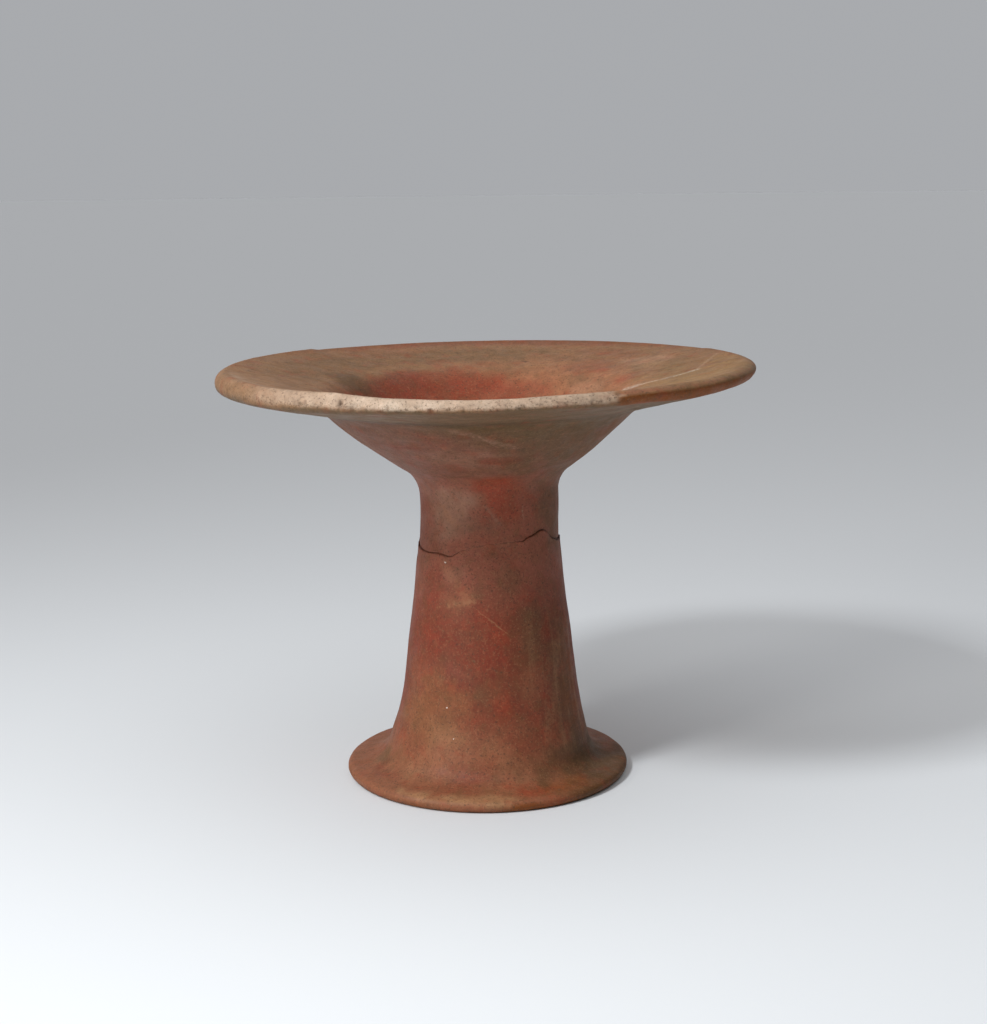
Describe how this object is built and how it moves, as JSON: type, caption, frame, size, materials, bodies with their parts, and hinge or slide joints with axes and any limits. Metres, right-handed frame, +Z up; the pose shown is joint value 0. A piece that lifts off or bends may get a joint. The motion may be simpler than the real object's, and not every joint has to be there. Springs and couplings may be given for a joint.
{
  "type": "footed pottery dish",
  "caption": "Shallow pottery dish with a broad out-turned rim on a tall hollow splayed foot, red-slipped, with a mended break round the stem.",
  "frame": {"origin": "on the ground under the middle of the dish's rim", "axes": "+Z up, along the stem; -Y towards the side that the picture shows; +X to that side's right"},
  "size_m": [0.3052, 0.305, 0.241],
  "materials": {
    "fired_clay": "matte red slip, burnished, worn and stained"
  },
  "bodies": {
    "root": {"footed_dish": "fired_clay"}
  },
  "joints": []
}
